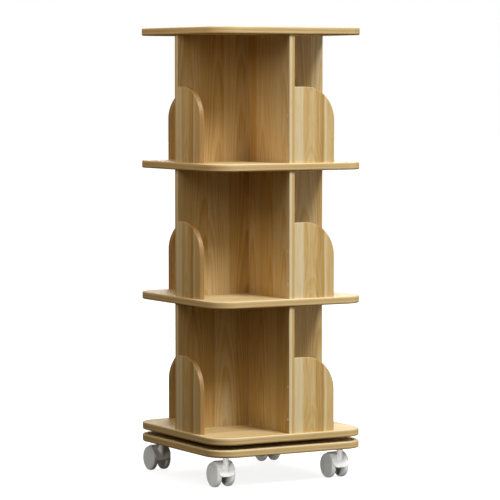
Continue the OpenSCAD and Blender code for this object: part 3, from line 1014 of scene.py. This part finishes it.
def merged(name: str) -> bpy.types.Mesh:
    """Copies a CAD piece's mesh with its loose triangles joined.

    Args:
        name: The CAD piece.

    Returns:
        The new mesh, without a material.
    """
    mesh = NODES[name].data.copy()
    if "custom_normal" in mesh.attributes:
        mesh.attributes.remove(mesh.attributes["custom_normal"])
    build = bmesh.new()
    build.from_mesh(mesh)
    bmesh.ops.remove_doubles(build, verts=build.verts, dist=WELD)
    build.to_mesh(mesh)
    build.free()
    mesh.materials.clear()
    return mesh


def bind(piece: bpy.types.Object, node: str) -> None:
    """Binds a finished piece to the body and the place of its CAD piece.

    Args:
        piece: The finished piece.
        node: The CAD piece that it stands for.
    """
    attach(piece, BODY_OF[node])
    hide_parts(node)


def settle(piece: bpy.types.Object, node: str, material: bpy.types.Material) -> None:
    """Gives a piece its finish and binds it.

    Args:
        piece: The piece, already in the scene.
        node: The CAD piece that it stands for.
        material: Its finish.
    """
    piece.data.materials.append(material)
    bind(piece, node)


def dress(names: list[str], material: bpy.types.Material, crease: float = 32.0) -> None:
    """Gives each named piece a finish, with its curves smooth and its edges crisp.

    Args:
        names: Names of the CAD pieces.
        material: The finish.
        crease: Angle, in degrees, from which an edge stays sharp.
    """
    for name in names:
        mesh = merged(name)
        mesh.shade_smooth()
        mesh.set_sharp_from_angle(angle=math.radians(crease))
        piece = added(f"{name}_finished", mesh)
        even = piece.modifiers.new("even_shading", "WEIGHTED_NORMAL")
        even.keep_sharp = True
        settle(piece, name, material)
    log.info("%s on %s", material.name, ", ".join(names))


@dataclass
class Shelves:
    """The five level boards.

    Attributes:
        names: Their names, from the top.
        tone: Colours of their print, which is greyer than that of the upright pieces.
        variety: Shift of the print from one board to the next.
    """

    names: tuple[str, ...] = ("top_board", "upper_shelf", "lower_shelf", "bottom_shelf", "base_board")
    tone: OakTone = OakTone(tan=srgb(204, 176, 119), dark=srgb(172, 139, 84))
    variety: float = 3.7

    def dress(self) -> None:
        """Gives each board its own stretch of the print."""
        for number, name in enumerate(self.names):
            low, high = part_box(name)
            finish = BoardOak(f"oak_{name}", tone=self.tone, seed=self.variety * number, floor=low[2],
                              thick=high[2] - low[2])
            dress([name], finish.build())


@dataclass
class Partitions:
    """The crossed panels of the tiers.

    Attributes:
        tiers: Number of tiers.
        variety: Shift of the print from one tier to the next.
        cross_variety: Shift between the two panels of a tier.
    """

    tiers: int = 3
    variety: float = 5.3
    cross_variety: float = 2.0

    def dress(self) -> None:
        """Gives the panels their upright print."""
        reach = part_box("side_to_side_panel_1")[1][0]
        for tier in range(1, self.tiers + 1):
            for number, way in enumerate(Way):
                run = way.name.lower()
                finish = PanelOak(f"oak_{run}_{tier}", turn=way.value, reach=reach,
                                  seed=self.variety * tier + self.cross_variety * number)
                dress([f"{run}_panel_{tier}"], finish.build())


@dataclass
class Stops:
    """The stops, four to a tier.

    Attributes:
        tiers: Number of tiers.
        variety: Shift of the print from one side to the next.
        slides: Shift of the strips, in millimetres, on the front and back stops and on those of the sides.
    """

    tiers: int = 3
    variety: float = 1.9
    slides: tuple[float, float] = (-1.0, 5.5)

    def dress(self) -> None:
        """Gives the stops of each side one print, cut at the same place on each tier."""
        low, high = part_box("front_stop_1")
        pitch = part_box("front_stop_2")[0][2] - low[2]
        for side in Side:
            label = f"{side.name.lower()}_stop"
            finish = StopOak(f"oak_{label}", turn=90.0 * side.value, seed=self.variety * side.value,
                             start=low[0], width=high[0] - low[0], floor=low[2], pitch=pitch,
                             slide=self.slides[side.value % 2])
            dress([f"{label}_{tier}" for tier in range(1, self.tiers + 1)], finish.build())


@dataclass
class Joinery:
    """Dowels, cam bolts, cams and screws of the shelves, in metres.

    Attributes:
        reach: Distance of the stops' screws from the axis.
        face: Distance of a screw's head from the middle of its panel.
        heights: Heights of the screws above their shelf.
        shelves: The boards on which the tiers stand.
        screw: The stops' screw.
        steel: Finish of the fittings.
        pale_steel: Finish of the stops' screws.
    """

    reach: float = 0.197
    face: float = 0.0075
    heights: tuple[float, ...] = (0.034, 0.113)
    shelves: tuple[str, ...] = ("bottom_shelf", "lower_shelf", "upper_shelf")
    screw: Fastener = Fastener(
        recess=Recess.CROSS, head_radius=0.0035, face_radius=0.00345, chamfer=0.0002, head_height=0.0019,
        neck_radius=0.00175, shank_radius=0.00175, length=0.04, drive=0.0036, drive_depth=0.0014)
    steel: MetalFinish = MetalFinish("zinc_steel", srgb(214, 215, 217), 0.28)
    pale_steel: MetalFinish = MetalFinish("pale_zinc_steel", srgb(246, 240, 228), 0.6)

    def stop_screws(self, material: bpy.types.Material) -> None:
        """Sets the stops' screws, heads flush in the panels' far faces.

        Args:
            material: Their finish.
        """
        places, turns = [], []
        for shelf in self.shelves:
            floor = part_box(shelf)[1][2]
            for side in Side:
                angle = math.radians(90.0 * (side.value - 1))
                spin = Matrix.Rotation(angle, 4, "Z")
                for height in self.heights:
                    places.append(spin @ Vector((self.reach, -self.face, floor + height)))
                    turns.append(Vector((-math.pi / 2, 0.0, angle)))
        FastenerSet("stop_screw_set", "stop_screws", self.screw, places, turns, material).build()

    def dress(self) -> None:
        """Gives the fittings their metals and the dowels their beech."""
        dress(["dowels"], BeechFinish().build())
        dress(["cam_bolts", "cams"], self.steel.build())
        self.stop_screws(self.pale_steel.build())


@dataclass
class Turntable:
    """Rings, balls, cage and fixings of the turntable, in metres.

    Attributes:
        bolt_circle: Radius of the circle of the base's bolts.
        bolt_count: Number of bolts.
        first_bolt: Place of the first bolt on the circle, in steps from +X.
        bolt: The bolt.
    """

    bolt_circle: float = 0.115875
    bolt_count: int = 6
    first_bolt: float = 0.25
    bolt: Fastener = Fastener(
        recess=Recess.HEX, head_radius=0.00475, face_radius=0.0034, chamfer=0.0012, head_height=0.003,
        neck_radius=0.00475, shank_radius=0.0025, length=0.029, drive=0.003, drive_depth=0.0018)

    def base_bolts(self, material: bpy.types.Material) -> None:
        """Sets the bolts that hold the inner ring, seen from below.

        Args:
            material: Their finish.
        """
        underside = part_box("inner_ring_bolts")[0][2]
        places, turns = [], []
        for number in range(self.bolt_count):
            angle = (number + self.first_bolt) * math.tau / self.bolt_count
            x, y = self.bolt_circle * math.cos(angle), self.bolt_circle * math.sin(angle)
            places.append(Vector((x, y, underside)))
            turns.append(Vector((0.0, 0.0, angle)))
        FastenerSet("base_bolt_set", "inner_ring_bolts", self.bolt, places, turns, material).build()

    def dress(self) -> None:
        """Gives the rings a dark colour, painted shade for the gap under the bottom shelf, the cage its
        plastic and the rest their steel.
        """
        # Painted shade: the rings' dark colour keeps the gap between base and bottom shelf dark.
        ring = MetalFinish("dark_anodised_ring", srgb(70, 66, 62), 0.42, (40.0, 40.0, 4000.0))
        dress(["turntable_inner_ring", "turntable_outer_ring"], ring.build())
        cage = PlasticFinish("moulded_cage", srgb(226, 224, 214), srgb(206, 202, 188))
        dress(["ball_cage"], cage.build())
        dress(["bearing_balls"], MetalFinish("polished_steel", srgb(214, 216, 220), 0.14).build())
        bolt_steel = MetalFinish("bolt_steel", srgb(186, 188, 192), 0.3).build()
        dress(["outer_ring_screws"], bolt_steel)
        self.base_bolts(bolt_steel)


@dataclass
class Casters:
    """The four twin-wheel casters, in metres.

    Attributes:
        places: Names of the casters, the first of which gives the hood's form.
        fineness: Size of the grid in which the hood is moulded.
        softening: How often its surface is smoothed.
        blending: How often the socket's root is smoothed into the hood.
        kept: Share of its faces that is kept.
        root: Lowest and highest point of the socket's root.
        root_fade: Heights over which the blend sets in and fades out there.
        stem: Place of the first caster's stem axis.
        axle: Y and Z of its axle.
        core_radius: Radius of the socket's inside, which takes no part in the blend.
        socket_radius: Radius of the socket round the stem.
        blend_reach: How far the blend reaches from the socket's wall.
        blend_fade: Width over which it fades out there.
        shell_radius: Distance of the middle of the hood's wall from the axle.
    """

    places: tuple[str, ...] = ("front_left", "front_right", "back_left", "back_right")
    fineness: float = 0.00055
    softening: int = 7
    blending: int = 120
    kept: float = 0.4
    root: tuple[float, float] = (0.028, 0.067)
    root_fade: tuple[float, float] = (0.004, 0.006)
    stem: tuple[float, float] = (-0.159, -0.164)
    axle: tuple[float, float] = (-0.139, 0.030)
    core_radius: float = 0.0055
    socket_radius: float = 0.0073
    blend_reach: float = 0.011
    blend_fade: float = 0.004
    shell_radius: float = 0.0320

    def moulding(self) -> bpy.types.Mesh:
        """Rounds the edges and corners of one hood as a mould does.

        Returns:
            The hood's mesh.
        """
        model = added("hood_model", merged(f"{self.places[0]}_caster_hood"))
        cast = model.modifiers.new("cast", "REMESH")
        cast.mode = "VOXEL"
        cast.voxel_size = self.fineness
        model.modifiers.new("soften", "SMOOTH").iterations = self.softening
        apply_modifiers(model)
        group = model.vertex_groups.new(name="socket_root")
        for vertex in model.data.vertices:
            share = self.root_share(vertex)
            if share > 0.0:
                group.add([vertex.index], share, "REPLACE")
        blend = model.modifiers.new("blend", "SMOOTH")
        blend.iterations = self.blending
        blend.vertex_group = group.name
        model.modifiers.new("thin", "DECIMATE").ratio = self.kept
        apply_modifiers(model)
        mesh = model.data
        bpy.data.objects.remove(model)
        mesh.shade_smooth()
        log.info("moulded hood: %d faces", len(mesh.polygons))
        return mesh

    def root_share(self, vertex: bpy.types.MeshVertex) -> float:
        """How far a point of the hood takes part in the blend between socket and hood.

        Args:
            vertex: The point.

        Returns:
            Its share, 0 to 1.
        """
        x, y, z = vertex.co
        outside = math.hypot(y - self.axle[0], z - self.axle[1]) > self.shell_radius
        from_stem = math.hypot(x - self.stem[0], y - self.stem[1])
        away = abs(from_stem - self.socket_radius)
        if not outside or from_stem < self.core_radius or away > self.blend_reach:
            return 0.0
        heights = (z - self.root[0]) / self.root_fade[0], (self.root[1] - z) / self.root_fade[1]
        below, above = (min(1.0, max(0.0, height)) for height in heights)
        return below * above * min(1.0, (self.blend_reach - away) / self.blend_fade)

    def hoods(self, material: bpy.types.Material) -> None:
        """Sets a moulded hood in the place of each CAD one.

        Args:
            material: Its finish.
        """
        form = self.moulding()
        start = Vector(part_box(f"{self.places[0]}_caster_hood")[0])
        for place in self.places:
            node = f"{place}_caster_hood"
            mesh = form.copy()
            mesh.transform(Matrix.Translation(Vector(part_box(node)[0]) - start))
            settle(added(f"{node}_moulded", mesh), node, material)

    def dress(self) -> None:
        """Gives hoods and wheels their plastics, and stems and axles their steel."""
        self.hoods(PlasticFinish("moulded_hood", srgb(232, 232, 230), srgb(218, 218, 215), 0.32).build())
        wheel = PlasticFinish("moulded_wheel", srgb(206, 207, 206), srgb(190, 191, 189), 0.34).build()
        dress([f"{place}_wheel_{letter}" for place in self.places for letter in "ab"], wheel)
        dress(["caster_sockets"], MetalFinish("socket_brass", srgb(206, 178, 108), 0.3).build())
        steel = MetalFinish("stem_steel", srgb(190, 192, 196), 0.25).build()
        dress(["caster_stems"] + [f"{place}_axle" for place in self.places], steel)


@cache
def caster_pieces(places: tuple[str, ...]) -> bpy.types.Collection:
    """Gathers the hoods and wheels of some casters.

    Args:
        places: Names of those casters.

    Returns:
        A collection of them.
    """
    group = bpy.data.collections.new(f"{places[0]}_pieces")
    for piece in bpy.context.scene.collection.objects:
        if piece.name.startswith(places) and ("_caster_hood_" in piece.name or "_wheel_" in piece.name):
            group.objects.link(piece)
    return group


@dataclass(frozen=True)
class Softbox:
    """One rectangular light that faces the shelf unit.

    Attributes:
        name: The light's name.
        place: Where it hangs, in metres.
        size: Its width and height, in metres.
        power: Its power, in watts.
        colour: Its colour.
        casters: Names of the casters that it lights alone; without them it lights everything.
    """

    name: str
    place: Triple
    size: tuple[float, float]
    power: float
    colour: Colour
    casters: tuple[str, ...] = ()

    def hang(self, target: Triple) -> None:
        """Hangs the light.

        Args:
            target: Where it aims.
        """
        light = bpy.data.lights.new(self.name, "AREA")
        light.shape = "RECTANGLE"
        light.size, light.size_y = self.size
        light.energy = self.power
        light.color = self.colour
        holder = added(self.name, light)
        holder.location = self.place
        aim = Vector(target) - Vector(self.place)
        holder.rotation_euler = aim.to_track_quat("-Z", "Y").to_euler()
        holder.visible_camera = False
        if self.casters:
            holder.light_linking.receiver_collection = caster_pieces(self.casters)


@dataclass
class Studio:
    """Floor, light and camera.

    Attributes:
        eye: Place of the camera, in metres.
        tilt: How far the camera looks down, in degrees.
        heading: The camera's turn about Z, in degrees.
        lens: Focal length, in millimetres, on a sensor 36 mm wide.
        floor_half: Half the floor's width, in metres.
        floor_colour: Colour of the floor.
        floor_glow: Strength of the floor's own light, as of a lit white paper roll, near and far.
        glow_reach: Distances from the unit at which that light is near and far, in metres.
        target: Where the lights aim.
        sky_steps: Colour of the surrounding light from straight down, 0, to straight up, 1.
        softboxes: The lights.
    """

    eye: Triple = (-3.2828, -5.7635, 0.9792)
    tilt: float = 3.668
    heading: float = -29.67
    lens: float = 195.17
    floor_half: float = 30.0
    floor_colour: Colour = (0.30, 0.30, 0.30)
    floor_glow: tuple[float, float] = (0.88, 1.0)
    glow_reach: tuple[float, float] = (0.7, 2.6)
    target: Triple = (0.0, 0.0, 0.5)
    sky_steps: tuple[tuple[float, Colour], ...] = (
        (0.0, (0.050, 0.044, 0.034)), (0.47, (0.075, 0.064, 0.046)), (0.53, (0.115, 0.098, 0.070)),
        (1.0, (0.66, 0.63, 0.58)))
    softboxes: tuple[Softbox, ...] = (
        Softbox("key", (2.85, -8.25, 11.2), (4.5, 4.5), 1975.0, (0.985, 0.995, 1.05)),
        Softbox("fill", (2.6, -2.2, 0.7), (1.2, 0.9), 16.0, (1.0, 0.975, 0.93)),
        Softbox("left", (-1.1, -0.32, 1.65), (0.9, 0.9), 6.8, (1.0, 0.81, 0.68)),
        Softbox("low_front", (0.7, -2.4, 0.11), (1.1, 0.18), 18.5, (0.99, 1.0, 1.0),
                ("front_left", "front_right", "back_right")),
        Softbox("low_left", (-2.2, -1.7, 0.3), (0.8, 0.4), 36.0, (0.98, 1.0, 1.0),
                ("front_left", "front_right", "back_right")),
        Softbox("low_side", (-2.6, -0.3, 0.3), (0.6, 0.4), 16.0, (0.93, 0.98, 1.0), ("back_left",)),
        Softbox("rear", (1.9, 2.9, 2.9), (1.8, 1.8), 90.0, (1.0, 1.0, 1.0)))

    def floor(self) -> None:
        """Lays the plain pale floor."""
        mesh = bpy.data.meshes.new("floor")
        build = bmesh.new()
        bmesh.ops.create_grid(build, x_segments=1, y_segments=1, size=self.floor_half)
        build.to_mesh(mesh)
        build.free()
        floor = added("floor", mesh)
        tree = ShaderTree("floor")
        glow = tree.spread(tree.reach(tree.place()), *self.glow_reach, *self.floor_glow)
        mesh.materials.append(tree.finish(Base_Color=self.floor_colour, Roughness=0.9, Specular_IOR_Level=0.1,
                                          Emission_Color=(1.0, 1.0, 1.0), Emission_Strength=glow))
        floor.visible_diffuse = False
        floor.visible_glossy = False

    def sky(self) -> None:
        """Makes the surrounding light: white where it is seen, a soft gradient where it lights."""
        world = bpy.data.worlds.new("studio")
        world.use_nodes = True
        tree = NodeBuilder(world.node_tree)
        tree.tree.nodes.clear()
        direction = tree.add("ShaderNodeTexCoord").outputs["Generated"]
        up = tree.add("ShaderNodeSeparateXYZ", Vector=direction).outputs["Z"]
        height = tree.add("ShaderNodeMapRange", Value=up, From_Min=-1.0).outputs["Result"]
        lit = tree.add("ShaderNodeBackground", Color=tree.ramp(height, self.sky_steps))
        seen = tree.add("ShaderNodeBackground", Color=(1.0, 1.0, 1.0))
        mixed = tree.add("ShaderNodeMixShader", Fac=tree.add("ShaderNodeLightPath").outputs["Is Camera Ray"])
        for target, light in zip(mixed.inputs[1:], (lit, seen)):
            tree.feed(target, light.outputs["Background"])
        tree.add("ShaderNodeOutputWorld", Surface=mixed.outputs["Shader"])
        bpy.context.scene.world = world

    def camera(self) -> None:
        """Stands the camera where the photograph was taken."""
        data = bpy.data.cameras.new("camera")
        data.sensor_width = 36.0
        data.lens = self.lens
        camera = added("camera", data)
        camera.location = self.eye
        camera.rotation_euler = (math.radians(90.0 - self.tilt), 0.0, math.radians(self.heading))
        bpy.context.scene.camera = camera

    def build(self) -> None:
        """Sets up the whole studio."""
        self.camera()
        self.floor()
        self.sky()
        for softbox in self.softboxes:
            softbox.hang(self.target)
        bpy.context.scene.view_settings.view_transform = "Standard"


def main() -> None:
    """Dresses the shelf unit, part by part, and sets up the studio."""
    logging.basicConfig(level=logging.INFO, format="%(message)s")
    for part in (Shelves(), Partitions(), Stops(), Joinery(), Turntable(), Casters()):
        part.dress()
        log.info("dressed %s", type(part).__name__)
    Studio().build()


if __name__ == "__main__":
    main()
